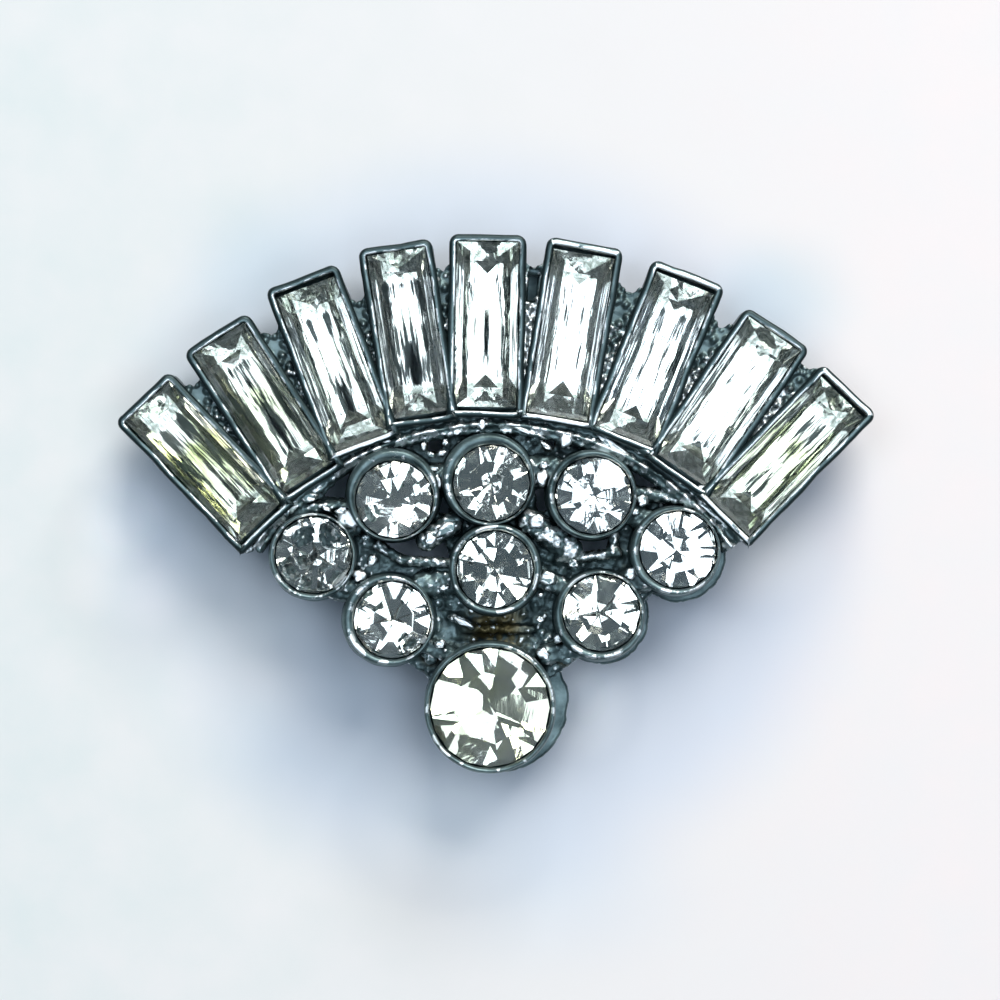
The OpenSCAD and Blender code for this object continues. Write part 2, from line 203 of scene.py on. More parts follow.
# Rows from left to right: reach from the fan's centre, degrees off the even ray, lean, width, box outward,
# yellowing of the lacquer, wear of the silver, the side that the wear keeps to (-1 left, 1 right), slopes of the
# two long back facets, and how far the end facets are ground askew in degrees
STRIPS = [
    (19.2, 0.3, -0.7, 2.7, -0.08, 1.0, 0.68, 0.4, (43.4, 42.6), -4),
    (19.5, 0.3, -0.9, 2.75, -0.08, 0.7, 0.85, 0.6, (42.4, 43.8), -4),
    (19.85, 0.5, 0.6, 2.8, 0.08, 0.3, 0.7, 0.4, (43.5, 42.5), -3),
    (20.3, 0.2, 1.7, 2.68, -0.08, 0.2, 0.8, -0.7, (42.6, 43.4), -2),
    (20.35, -0.45, 1.5, 2.82, -0.08, 0.25, 0.3, -0.3, (43.3, 42.8), 0),
    (20.2, -0.3, -1.0, 2.8, 0.05, 0.1, 0.15, 0.4, (42.8, 43.4), 2),
    (20.2, 0.3, -0.2, 2.8, 0.08, 0.1, 0.45, 0.5, (43.4, 43.4), 2),
    (20.0, 0.5, 1.6, 2.8, -0.08, 0.2, 0.38, 0.3, (43.4, 42.7), 3),
    (19.65, 0.1, 0.9, 2.7, 0.08, 0.8, 0.62, 0.5, (42.7, 43.4), 4),
]
# How each stone is cut: height of the crown, width of its long facets, slope of the inner and the outer end of
# the back, dullness of the silver
CUTS = [
    (0.55, 0.26, 37, 43, 0.05),
    (0.6, 0.3, 37, 41, 0.04),
    (0.55, 0.34, 37, 47, 0.0),
    (0.6, 0.3, 41, 47, 0.05),
    (0.55, 0.34, 41, 43, 0.0),
    (0.6, 0.34, 38, 43, 0.06),
    (0.6, 0.34, 41, 45, 0.0),
    (0.55, 0.34, 39, 47, 0.02),
    (0.55, 0.34, 39, 47, 0.0),
]
CROWN, BACK = 0, 1


def fan_seat(number, outward=0.0):
    """Middle and turn of one seat of the fan, moved outward along the stone."""
    reach, off_ray, lean, *_ = STRIPS[number]
    ray = math.radians((number - 4) * FAN_STEP + off_ray)
    turn = -(ray + math.radians(lean))
    along = Vector((-math.sin(turn), math.cos(turn)))
    return FAN_CENTRE + reach * Vector((math.sin(ray), math.cos(ray))) + outward * along, turn


def bring(bm, middle, turn):
    """Turns a mesh about its upright axis and brings it to its place."""
    bmesh.ops.transform(bm, matrix=Matrix.Translation(middle) @ Matrix.Rotation(turn, 4, "Z"), verts=bm.verts)


def grind(bm, normal, reach, material):
    """Grinds one flat facet on a stone: all that lies beyond the plane at that reach along the normal goes."""
    normal = Vector(normal).normalized()
    cut = bmesh.ops.bisect_plane(
        bm, geom=bm.verts[:] + bm.edges[:] + bm.faces[:], dist=1e-5,
        plane_co=normal * reach, plane_no=normal, clear_outer=True,
    )["geom_cut"]
    edges = [e for e in cut if isinstance(e, bmesh.types.BMEdge)]
    if edges:
        for face in bmesh.ops.contextual_create(bm, geom=edges)["faces"]:
            face.material_index = material


# clear soda glass, pressed and fire-polished: sharp white glints and a clean view of the silvered back
glass = new_material("pressed_glass_clear")
clear = add(glass, "BsdfPrincipled", {
    "Base Color": linear("#FFFFFF"), "Roughness": 0.015, "IOR": 1.52, "Transmission Weight": 1.0,
})
add(glass, "OutputMaterial", {"Surface": (clear, "BSDF")})


def silvering(name, centre, turn, yellowing, wear, side, dullness, length=0):
    """Silvered back of one stone: mirror-bright, rippled along a long one, spotted dark where the silver is gone."""
    back = new_material(name)
    where = add(back, "TexCoord")
    local = add(back, "Mapping", {
        "Vector": (where, "Object"), "Location": centre * MM, "Rotation": [0, 0, turn], "Scale": [MM, MM, MM],
    }, vector_type="TEXTURE")
    across = add(back, "SeparateXYZ", {"Vector": (local, "Vector")})
    # waves of the pressed glass, 0.4 mm apart and 3 mm long
    long = add(back, "VectorMath", {0: (local, "Vector"), 1: [2.4, 0.32, 1.0]}, operation="MULTIPLY")
    waves = add(back, "TexNoise", {
        "Vector": (long, "Vector"), "W": centre.x, "Scale": 1.0, "Detail": 2.0,
    }, noise_dimensions="4D")
    # lost silver: streaks along a long stone, 0.35 mm apart and 2 mm long, or spots in a round one
    drawn = add(back, "VectorMath", {
        0: (local, "Vector"), 1: [3.1, 0.3, 1.0] if length else [1.1, 1.1, 1.1],
    }, operation="MULTIPLY")
    spots = add(back, "TexNoise", {
        "Vector": (drawn, "Vector"), "W": centre.x, "Scale": 1.0, "Detail": 4.0, "Roughness": 0.55,
    }, noise_dimensions="4D")
    leaning = add(back, "Math", {0: (across, "X"), 1: 0.09 * side, 2: (spots, "Fac")}, operation="MULTIPLY_ADD")
    # the lacquer has yellowed in clouds 2 mm across
    clouds = add(back, "TexNoise", {"Vector": (local, "Vector"), "Scale": 0.5, "Detail": 3.0})
    drift = add(back, "Math", {0: (across, "X"), 1: -0.12, 2: (clouds, "Fac")}, operation="MULTIPLY_ADD")
    aged = add(back, "MapRange", {
        "Value": (drift, "Value"), "From Min": 0.4, "From Max": 0.6,
        "To Min": 0.25 * yellowing, "To Max": yellowing,
    })
    film = mix(back, (aged, "Result"), "#F4F6F4", "#D6DBB9")
    metal, ripple = 1 - dullness, 0.05
    if length:
        # the end facets were ground flat, so the waves and the streaks stop short of them. There the lacquer
        # crept under the silver: a dull grey film, creased every half millimetre
        from_middle = add(back, "Math", {0: (across, "Y")}, operation="ABSOLUTE")
        ends = add(back, "MapRange", {
            "Value": (from_middle, "Value"), "From Min": length / 2 - 1.5, "From Max": length / 2 - 1.1,
        })
        leaning = add(back, "Math", {
            0: (ends, "Result"), 1: -0.2, 2: (leaning, "Value"),
        }, operation="MULTIPLY_ADD")
        creases = add(back, "TexNoise", {
            "Vector": (local, "Vector"), "Scale": 1.6, "Detail": 3.0, "Distortion": 1.5,
        })
        crease = add(back, "MapRange", {"Value": (creases, "Fac"), "From Min": 0.4, "From Max": 0.56})
        dull = mix(back, (crease, "Result"), "#B4BAB2", "#EAEEE9")
        film = mix(back, (ends, "Result"), (film, MIXED), (dull, MIXED))
        metal = add(back, "MapRange", {"Value": (ends, "Result"), "To Min": 1 - dullness, "To Max": 0.85})
        ripple = add(back, "MapRange", {"Value": (ends, "Result"), "To Min": 0.22, "To Max": 0.09})
        metal, ripple = (metal, "Result"), (ripple, "Result")
    gone = add(back, "MapRange", {
        "Value": (leaning, "Value"), "From Min": 0.69 - 0.22 * wear, "From Max": 0.74 - 0.22 * wear,
        "To Max": 0.95,
    })
    tone = mix(back, (gone, "Result"), (film, MIXED), "#2F3B3C")
    rough = add(back, "MapRange", {"Value": (gone, "Result"), "To Min": 0.03, "To Max": 0.35})
    bump = add(back, "Bump", {"Height": (waves, "Fac"), "Strength": ripple, "Distance": 0.1 * MM})
    mirror = add(back, "BsdfPrincipled", {
        "Base Color": (tone, MIXED), "Metallic": metal, "Roughness": (rough, "Result"),
        "Normal": (bump, "Normal"),
    })
    add(back, "OutputMaterial", {"Surface": (mirror, "BSDF")})
    return back


for number, (_, _, _, width, _, yellowing, wear, side_worn, slopes, askew) in enumerate(STRIPS):
    flat, turn = fan_seat(number)
    middle = Vector((*flat, BOX_GIRDLE))
    crown, crown_width, *end_slopes, dullness = CUTS[number]
    half, end = width / 2, STONE_LENGTH / 2
    bm = bmesh.new()
    bmesh.ops.create_cube(bm, size=1)
    bmesh.ops.scale(bm, vec=(width, STONE_LENGTH, crown + GIRDLE_HEIGHT + BLANK_DEPTH), verts=bm.verts)
    bmesh.ops.translate(bm, vec=(0, 0, (crown + GIRDLE_HEIGHT - BLANK_DEPTH) / 2), verts=bm.verts)
    for side in (-1, 1):
        crown_angle = math.atan2(crown, crown_width)
        n = Vector((side * math.sin(crown_angle), 0, math.cos(crown_angle)))
        grind(bm, n, n.dot(Vector((side * half, 0, GIRDLE_HEIGHT))), CROWN)
        crown_angle = math.atan2(crown, END_CROWN_RUN * crown)
        n = Vector((0, side * math.sin(crown_angle), math.cos(crown_angle)))
        grind(bm, n, n.dot(Vector((0, side * end, GIRDLE_HEIGHT))), CROWN)
        back_angle = math.radians(slopes[side > 0])
        n = Vector((side * math.sin(back_angle), 0, -math.cos(back_angle)))
        grind(bm, n, n.dot(Vector((side * half, 0, 0))), BACK)
        back_angle = math.radians(end_slopes[side > 0])
        off_square = Matrix.Rotation(math.radians(askew), 3, "Z")
        n = off_square @ Vector((0, side * math.sin(back_angle), -math.cos(back_angle)))
        grind(bm, n, n.dot(Vector((0, side * end, 0))), BACK)
    bmesh.ops.recalc_face_normals(bm, faces=bm.faces)
    bring(bm, middle, turn)
    name = f"baguette_{number + 1}"
    back = silvering(f"silvering_{name}", middle, turn, yellowing, wear, side_worn, dullness, STONE_LENGTH)
    stone = place(f"glass_{name}", bm, [glass, back])
    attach(stone, "root")
    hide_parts(name)

# Round stones: chatons of clear glass with a silvered back. Each has an octagonal table and eight crown facets
# over a cone of back facets. They were ground by hand in bulk, so the back facets differ by a degree or two.
# Rows: name, middle, radius, slope of the back, its facets, turn, unevenness of the grinding, wheel, yellowing,
# wear, dullness of the silver
ROUNDS = [
    ("chaton_upper_left", (-4.63, 0.18), 1.74, 42.6, 12, 36, 2.4, 4, 0.1, 0.0, 0.06),
    ("chaton_upper_middle", (-0.21, 0.92), 1.74, 42.2, 12, 18, 0.8, 7, 0.15, 0.3, 0.04),
    ("chaton_upper_right", (4.44, 0.36), 1.74, 42.2, 12, 18, 1.6, 0, 0.05, 0.0, 0.03),
    ("chaton_left", (-8.29, -2.34), 1.74, 42.2, 8, 18, 2.4, 3, 0.1, 0.55, 0.05),
    ("chaton_middle", (-0.05, -3.0), 1.74, 42.2, 10, 18, 1.6, 4, 0.15, 0.3, 0.02),
    ("chaton_right", (8.28, -2.11), 1.74, 43.0, 10, 36, 1.6, 6, 0.05, 0.0, 0.02),
    ("chaton_lower_left", (-4.72, -5.3), 1.74, 43.8, 8, 18, 1.6, 1, 0.1, 0.0, 0.05),
    ("chaton_lower_right", (4.79, -4.97), 1.74, 42.2, 8, 9, 2.4, 6, 0.15, 0.1, 0.04),
    ("chaton_large", (-0.27, -9.25), 2.7, 42.6, 10, 9, 2.4, 1, 0.6, 0.0, 0.12),
]
TABLE = 0.56
for name, (x, y), radius, slope, facets, turn, uneven, wheel, yellowing, wear, dullness in ROUNDS:
    large = name == "chaton_large"
    girdle, crown, thickness, depth = (5.45, 0.9, 0.2, 2.5) if large else (5.05, 0.6, GIRDLE_HEIGHT, 1.7)
    middle = Vector((x, y, girdle))
    hand = random.Random(wheel)
    bm = bmesh.new()
    bmesh.ops.create_cone(
        bm, cap_ends=True, segments=16, radius1=radius, radius2=radius, depth=crown + thickness + depth,
    )
    bmesh.ops.translate(bm, vec=(0, 0, (crown + thickness - depth) / 2), verts=bm.verts)
    for k in range(8):
        around = math.radians(45 * k + 22.5 + turn)
        out = Vector((math.cos(around), math.sin(around), 0))
        crown_angle = math.atan2(crown, (1 - TABLE) * radius)
        n = out * math.sin(crown_angle) + Vector((0, 0, math.cos(crown_angle)))
        grind(bm, n, n.dot(out * radius + Vector((0, 0, thickness))), CROWN)
    for k in range(facets):
        around = math.radians(360 / facets * (k + 0.5) + turn + uneven * hand.uniform(-1, 1))
        out = Vector((math.cos(around), math.sin(around), 0))
        back_angle = math.radians(slope + uneven * hand.uniform(-1, 1))
        n = out * math.sin(back_angle) - Vector((0, 0, math.cos(back_angle)))
        grind(bm, n, n.dot(out * radius), BACK)
    bmesh.ops.recalc_face_normals(bm, faces=bm.faces)
    bring(bm, middle, 0)
    back = silvering(f"silvering_{name}", middle, 0, yellowing, wear, 0, dullness)
    stone = place(f"glass_{name}", bm, [glass, back])
    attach(stone, "root")
    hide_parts(name)

# Casting: one piece of white pot metal, cast in a mould, plated and long worn. Its high edges are rubbed bright,
# with painted highlights on the sides of the rims that catch the light; the rest has gone a dark blue-grey, and the
# recesses are nearly black with tarnish and painted shade. Two attributes tell the wear, with painted light and
# shade, and the tarnish.
# without a seed the waves of the cast walls would differ from run to run
noise.seed_set(3)


def new_cast():
    """An empty mesh of the casting, with its layers for rubbed places, which also carry painted light and shade, and
    for tarnished places.
    """
    bm = bmesh.new()
    bm.verts.layers.float.new("rubbed")
    bm.verts.layers.float.new("tarnish")
    return bm


def join(bm, other):
    """Adds another mesh of the casting to this one."""
    whole = bpy.data.meshes.new("part")
    other.to_mesh(whole)
    other.free()
    bm.from_mesh(whole)


def cast_piece(name, bm):
    """Places one part of the casting: they all stand for the one solid."""
    piece = place(name, bm, [casting], smooth=True)
    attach(piece, "root")
    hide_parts("cast_setting")


def finish_mesh(bm):
    """Merges doubles and turns the faces of a closed mesh outwards."""
    bmesh.ops.remove_doubles(bm, verts=bm.verts, dist=1e-4)
    bmesh.ops.recalc_face_normals(bm, faces=bm.faces)


def to_millimetres(bm):
    """Scales a mesh taken from the scene up to millimetres, to be worked on."""
    bmesh.ops.scale(bm, vec=(1 / MM, 1 / MM, 1 / MM), verts=bm.verts)


def verts_of(geometry):
    """The vertices in what a mesh operator gives back."""
    return [g for g in geometry if isinstance(g, bmesh.types.BMVert)]


def upright_edges(bm):
    """The edges of a block that run up and down."""
    return [e for e in bm.edges if abs(e.verts[0].co.z - e.verts[1].co.z) > 1]


def round_edges(bm, edges, width, steps):
    """Rounds edges to a width, in that many steps."""
    bmesh.ops.bevel(bm, geom=edges, offset=width, segments=steps, profile=0.5, affect="EDGES", material=-1)


# pot metal with worn plating: satin dark patina, mirror-bright where rubbed, grainy from the mould; painted shade
# in the recesses and on the outer rolls of the rims, painted highlights along some rims
casting = new_material("pot_metal_worn_painted_shade")
where = add(casting, "TexCoord")
# the attribute holds wear, and on the rims of the boxes and on the webs also painted highlight and painted shade
rubbed = add(casting, "Attribute", attribute_name="rubbed")
# patches of wear, 0.4 mm across, that break the bright edges up
patches = add(casting, "TexNoise", {
    "Vector": (where, "Object"), "Scale": 2200.0, "Detail": 3.0, "Roughness": 0.6,
})
uneven = add(casting, "MapRange", {
    "Value": (patches, "Fac"), "From Min": 0.35, "From Max": 0.65, "To Min": -0.45, "To Max": 0.35,
})
wear_and_light_level = add(casting, "Math", {0: (rubbed, "Fac"), 1: (uneven, "Result")}, operation="ADD")
bright_wear_and_highlight = add(casting, "MapRange", {
    "Value": (wear_and_light_level, "Value"), "From Min": 0.48, "From Max": 0.7,
}, interpolation_type="SMOOTHSTEP")
# recesses, darkened within 0.6 mm of a corner: dark tarnish and painted shade
recess = add(casting, "AmbientOcclusion", {"Distance": 0.6 * MM}, samples=6)
hollow_tarnish_and_shade = add(casting, "MapRange", {"Value": (recess, "AO"), "From Min": 0.1, "From Max": 0.6})
# cloudy patina, 1.2 mm across
clouds = add(casting, "TexNoise", {"Vector": (where, "Object"), "Scale": 800.0, "Detail": 4.0, "Roughness": 0.6})
cloud = add(casting, "MapRange", {"Value": (clouds, "Fac"), "From Min": 0.35, "From Max": 0.65})
patina = mix(casting, (cloud, "Result"), "#3F5254", "#728789")
shaded = mix(casting, (hollow_tarnish_and_shade, "Result"), "#29393C", (patina, MIXED))
# olive and brown tarnish in the low places
tarnish = add(casting, "Attribute", attribute_name="tarnish")
stained = mix(casting, (tarnish, "Fac"), (shaded, MIXED), "#5A5234")
# below 0 the attribute marks painted shade: the outer rolls of the rims and some web tips, coloured darkest
painted_shade_edges = add(casting, "MapRange", {
    "Value": (rubbed, "Fac"), "From Min": -0.5, "From Max": 0.0, "To Min": 1.0, "To Max": 0.0,
})
darkened = mix(casting, (painted_shade_edges, "Result"), (stained, MIXED), "#2A3A3C")
tone = mix(casting, (bright_wear_and_highlight, "Result"), (darkened, MIXED), "#EAF1F2")
rough = add(casting, "MapRange", {"Value": (bright_wear_and_highlight, "Result"), "To Min": 0.38, "To Max": 0.42})
# the patina is a dull film, so it is only partly metallic
metal = add(casting, "MapRange", {"Value": (bright_wear_and_highlight, "Result"), "To Min": 0.65, "To Max": 1.0})
# grain of the mould, 0.12 mm
grain = add(casting, "TexNoise", {"Vector": (where, "Object"), "Scale": 7000.0, "Detail": 2.0})
relief = add(casting, "Bump", {"Height": (grain, "Fac"), "Strength": 0.35, "Distance": 0.03 * MM})
skin = add(casting, "BsdfPrincipled", {
    "Base Color": (tone, MIXED), "Metallic": (metal, "Result"), "Roughness": (rough, "Result"),
    "Normal": (relief, "Normal"),
})
add(casting, "OutputMaterial", {"Surface": (skin, "BSDF")})

# Boxes of the fan: deep trays with a thin rim, cast side by side. The rim is rolled over outside, where it is
# painted dark as shade, and rubbed to a broken bright line inside, more so on the boxes at the right, with painted
# highlights on the sides that catch the light.
BOX_TOP = 5.2
BOX_FLOOR = 3.15
UNDERSIDE = 2.2
WALL = 0.3
# a stone's play in its box, to both sides together
PLAY_WIDE, PLAY_LONG = 0.1, 0.25
# cuts across and along, which let the walls be wavy
CUTS_WIDE, CUTS_LONG = 7, 17
# shine of each rim, wear with painted highlight, higher on the sides that catch the light: left, right, outer end,
# inner end
RIM_WEAR_AND_HIGHLIGHT = [
    (0.35, 0.4, 0.9, 0.75), (0.5, 0.2, 0.75, 0.85), (0.99, 0.1, 0.55, 1.3), (0.4, 0.4, 0.35, -0.15),
    (0.65, 0.1, 0.3, 0.6), (0.95, -0.05, 1.1, 1.1), (0.85, 0.15, 1.2, 0.35), (0.95, 0.0, 0.4, 0.3),
    (0.99, 0.75, 1.4, 1.5),
]
bm = new_cast()
for number, (_, _, _, width, outward, *_) in enumerate(STRIPS):
    middle, turn = fan_seat(number, outward)
    wide, long = width + PLAY_WIDE + 2 * WALL, STONE_LENGTH + PLAY_LONG + 2 * WALL
    box = new_cast()
    bmesh.ops.create_cube(box, size=1)
    bmesh.ops.scale(box, vec=(wide, long, BOX_TOP - UNDERSIDE), verts=box.verts)
    bmesh.ops.translate(box, vec=(0, 0, (BOX_TOP + UNDERSIDE) / 2), verts=box.verts)
    round_edges(box, [e for e in upright_edges(box) if e.verts[0].co.y > 0], 0.4, 5)
    round_edges(box, [e for e in upright_edges(box) if e.verts[0].co.y < -1], 0.15, 3)
    for axis, span, cuts in ((0, wide, CUTS_WIDE), (1, long, CUTS_LONG)):
        for k in range(1, cuts):
            at, way = Vector((0, 0, 0)), Vector((0, 0, 0))
            at[axis] = span * (k / cuts - 0.5)
            way[axis] = 1
            everything = box.verts[:] + box.edges[:] + box.faces[:]
            bmesh.ops.bisect_plane(box, geom=everything, dist=1e-5, plane_co=at, plane_no=way)
    top = [f for f in box.faces if f.normal.z > 0.9]
    bmesh.ops.inset_region(box, faces=top, thickness=WALL, use_even_offset=True, use_boundary=True)
    well = [f for f in top if f.is_valid]
    down = bmesh.ops.extrude_face_region(box, geom=well)["geom"]
    bmesh.ops.delete(box, geom=well, context="FACES")
    bmesh.ops.translate(box, vec=(0, 0, BOX_FLOOR - BOX_TOP), verts=verts_of(down))
    outer, inner = [], []
    for e in box.edges:
        if e.is_manifold and e.calc_face_angle(0) > 1.2 and min(v.co.z for v in e.verts) > BOX_TOP - 0.01:
            wall = min(e.link_faces, key=lambda f: abs(f.normal.z))
            at = (e.verts[0].co + e.verts[1].co) / 2
            (outer if wall.normal.x * at.x + wall.normal.y * at.y > 0 else inner).append(e)
    round_edges(box, outer, 0.15, 3)
    round_edges(box, [e for e in inner if e.is_valid], 0.05, 2)
    finish_mesh(box)
    wear_and_light_layer = box.verts.layers.float["rubbed"]
    for v in box.verts:
        from_side, from_end = wide / 2 - abs(v.co.x), long / 2 - abs(v.co.y)
        edge = (0 if v.co.x < 0 else 1) if from_side < from_end else (2 if v.co.y > 0 else 3)
        shine = RIM_WEAR_AND_HIGHLIGHT[number][edge]
        # painted shade: the outer roll of each rim is set below 0, so it is coloured darkest
        if v.co.z > BOX_TOP - 0.2 and min(from_side, from_end) < (0.2 if shine < 1 else 0.12):
            v[wear_and_light_layer] = -0.5
        elif v.co.z > BOX_TOP - 0.06:
            # wear and painted highlight: the inner line is rubbed bright, more on the sides that catch the light
            v[wear_and_light_layer] = 0.42 + 0.75 * shine + 1.5 * noise.noise(v.co * 2.2 + Vector((number, 0, 0)))
    bring(box, (*middle, 0), turn)
    for v in box.verts:
        v.co += 0.045 * noise.noise_vector(v.co * 0.9) + 0.015 * noise.noise_vector(v.co * 3.1)
    join(bm, box)
cast_piece("cast_boxes", bm)

# Webs of the fan: the plate that fills the wedges between the boxes. It is cast with a granulated top, its outer
# edge is bitten in, and a low bar crosses three of the wedges just inside that edge.
def granulate(bm, share, pitch, height):
    """Raises cast granules where share(point) is above 0. Their tops are rubbed bright."""
    bm.normal_update()
    wear_and_light_layer = bm.verts.layers.float["rubbed"]
    for v in bm.verts:
        part = share(v.co)
        if part > 0:
            near = noise.voronoi(v.co / pitch)[0][0]
            lump = max(0.0, 1.0 - (1.7 * near) ** 2)
            v.co += v.normal * (part * height * (lump - 0.4))
            v[wear_and_light_layer] = max(v[wear_and_light_layer], part * lump * (0.6 + 0.9 * noise.noise(v.co * 1.3)))


WEB_TOP = 4.65
WEB_UNDERSIDE = 2.25
WEB_INNER = 17.5
# the boxes' half width, which the wedges leave out, and how far a web reaches under them
BOX_HALF = 1.75
TUCK = 0.2
BAR_MIDDLE, BAR_WIDTH, BAR_HEIGHT = 3.35, 0.32, 1.9
BARRED = (4, 5, 7)
# the web with a slot through its top, and from where to where it runs
SLOTTED, SLOT_FROM, SLOT_TO = 4, 21.5, 23.0
# Rows from left to right: reach from the fan's centre, shine at the inner end, shine at the tip. The shine is wear
# with painted light at the inner ends, against the shade between the boxes, and painted shade below 0
WEBS = [
    (22.5, 0.6, 0.0), (22.6, 0.3, -0.4), (22.6, 0.5, -0.15), (23.3, -0.3, 0.5),
    (23.4, 1.4, 0.1), (23.1, 0.8, -0.35), (23.2, 0.85, -0.45), (23.7, 1.0, -0.1),
]
WEDGE = math.tan(math.radians(FAN_STEP / 2))
bm = new_cast()
for number, (reach, inner_shine, tip_shine) in enumerate(WEBS):
    left = (number - 4) * FAN_STEP + STRIPS[number][1]
    right = (number - 3) * FAN_STEP + STRIPS[number + 1][1]
    web = new_cast()
    bmesh.ops.create_grid(web, x_segments=20, y_segments=64, size=0.5)
    bmesh.ops.translate(web, vec=(0, 0.5, 0), verts=web.verts)
    down = bmesh.ops.extrude_face_region(web, geom=web.faces[:])["geom"]
    bmesh.ops.translate(web, vec=(0, 0, -1), verts=verts_of(down))
    for v in web.verts:
        along = WEB_INNER + (reach - WEB_INNER) * v.co.y
        x = 2 * max(0.08, along * WEDGE - BOX_HALF + TUCK) * v.co.x
        bitten = 0.4 * math.exp(-(x / 0.35) ** 2) * max(0.0, along - reach + 0.8) / 0.8
        v.co = Vector((x, along - bitten, WEB_TOP + 0.4 * (1 - v.co.y) if v.co.z > -0.5 else WEB_UNDERSIDE))
    finish_mesh(web)
    wear_and_light_layer = web.verts.layers.float["rubbed"]
    for v in web.verts:
        if number == SLOTTED and SLOT_FROM < v.co.y < SLOT_TO and abs(v.co.x) < 0.24 and v.co.z > 3:
            v.co.z = 2.8
        inward = min(1.0, max(0.0, (reach - v.co.y) / 3))
        # wear with painted light and shade: brighter towards the inner end, darkest at tips set below 0
        v[wear_and_light_layer] = inward * inner_shine + (1 - inward) * tip_shine if v.co.z > 4 else 0.0
    granulate(web, lambda co: 0.0 if co.z <= 3.2 else 1.0 if co.y < reach - 1.4 else 0.6, 0.34, 0.3)
    if number in BARRED:
        bar = new_cast()
        bmesh.ops.create_cube(bar, size=1)
        bar_length = 2 * (reach * WEDGE - BOX_HALF + TUCK / 2)
        bmesh.ops.scale(bar, vec=(bar_length, BAR_WIDTH, BAR_HEIGHT), verts=bar.verts)
        bmesh.ops.translate(bar, vec=(0, reach - 0.5, BAR_MIDDLE), verts=bar.verts)
        round_edges(bar, [e for e in bar.edges if min(v.co.z for v in e.verts) > 4], 0.12, 3)
        wear_and_light_layer = bar.verts.layers.float["rubbed"]
        for v in bar.verts:
            v[wear_and_light_layer] = 0.75 if v.co.z > 4.2 else 0.0
        join(web, bar)
    bring(web, (*FAN_CENTRE, 0), -math.radians((left + right) / 2))
    join(bm, web)
cast_piece("cast_fan_webs", bm)

# Arc band: the curved rail along the inner ends of the boxes. A ridge stands on its outer edge, worn to a broken bright
# line, then come a groove, a line of small beads and a rounded lip.
BAND_CENTRE = Vector((-0.15, -9.8))
BAND_HALF = math.radians(54.5)
# Rows along the section: radius, height
BAND_PROFILE = [
    (12.98, UNDERSIDE), (12.98, 4.4), (13.0, 4.6), (13.05, 4.7), (13.13, 4.77), (13.2, 4.78),
    (13.27, 4.84), (13.33, 4.9), (13.4, 4.94), (13.47, 4.9), (13.53, 4.8), (13.6, 4.68), (13.68, 4.64),
    (13.76, 4.68), (13.83, 4.85), (13.88, 5.02), (13.94, 5.12), (14.02, 5.18), (14.1, 5.18),
    (14.16, 5.1), (14.2, 4.9), (14.2, UNDERSIDE),
]
# gap that the ridge keeps from the boxes
BAND_GAP = 0.02
hub = (*BAND_CENTRE, 0)
bm = new_cast()
corners = [bm.verts.new((BAND_CENTRE.x, BAND_CENTRE.y + r, z)) for r, z in BAND_PROFILE]
section = bm.faces.new(corners)
bmesh.ops.rotate(bm, cent=hub, matrix=Matrix.Rotation(BAND_HALF, 3, "Z"), verts=bm.verts)
bmesh.ops.spin(
    bm, geom=[section] + section.edges[:] + corners, cent=hub, axis=(0, 0, 1), angle=-2 * BAND_HALF, steps=260,
)
finish_mesh(bm)
wear_and_light_layer = bm.verts.layers.float["rubbed"]
for v in bm.verts:
    out = (v.co.xy - BAND_CENTRE).length
    dip = noise.noise(Vector((v.co.x * 1.7, v.co.y * 1.7, 3.0)))
    if v.co.z > 5:
        v[wear_and_light_layer] = 0.4 + 1.0 * dip
        v.co.z += 0.05 * dip
    elif v.co.z > 4.75 and out < 13.6:
        bead = noise.voronoi(Vector((v.co.x, v.co.y, 0)) / 0.42)[0][0]
        v.co.z += 0.22 * (0.45 - bead)
        v[wear_and_light_layer] = 0.33 + max(0.0, 1.35 - 1.9 * bead) * (0.9 + 0.9 * dip)
granulate(bm, lambda co: 0.8 if 4.5 < co.z < 4.83 else 0.0, 0.3, 0.18)
# the ridge keeps out of the boxes: it is straight along each of their ends
for number, (_, _, _, width, outward, *_) in enumerate(STRIPS):
    middle, turn = fan_seat(number, outward)
    along, across = Vector((-math.sin(turn), math.cos(turn))), Vector((math.cos(turn), math.sin(turn)))
    for v in bm.verts:
        away = v.co.xy - middle
        inside = away.dot(along) + (STONE_LENGTH + PLAY_LONG) / 2 + BAND_GAP
        if inside > 0 and abs(away.dot(across)) < width / 2 + 0.08:
            v.co.xy -= along * inside
cast_piece("cast_arc_band", bm)

# Cups of the round stones: each is a turned-looking bezel cast in one with the floor. The stone sits off the middle
# in most of them, so the wall is thick on one side and thin on the other. Its rounded rim has a dull sheen.
# Rows: middle, outer radius, offset of the bore, shine of the rim
CUPS = [
    ((-4.7, 0.4), 2.12, (0.07, -0.22), 0.1),
    ((-0.35, 1.1), 2.12, (0.14, -0.18), 0.1),
    ((4.35, 0.4), 2.05, (0.09, -0.04), 0.03),
    ((-8.35, -2.4), 1.98, (0.06, 0.06), 0.48),
    ((-0.05, -3.0), 2.1, (0.0, 0.0), 0.5),
    ((8.15, -2.15), 2.05, (0.13, 0.04), 0.45),
    ((-4.9, -5.3), 2.1, (0.18, 0.0), 0.35),
    ((4.7, -5.1), 2.07, (0.09, 0.13), 0.4),
]
LARGE_CUP = ((-0.27, -9.25), 3.0, (0.0, 0.0), 0.25)
# the rim from its outer to its inner edge: share of the wall, and drop below the top
RIM = [
    (0.0, 0.34), (0.05, 0.2), (0.14, 0.1), (0.28, 0.03), (0.45, 0.0), (0.65, 0.01), (0.82, 0.05), (0.94, 0.12),
    (1.0, 0.22),
]
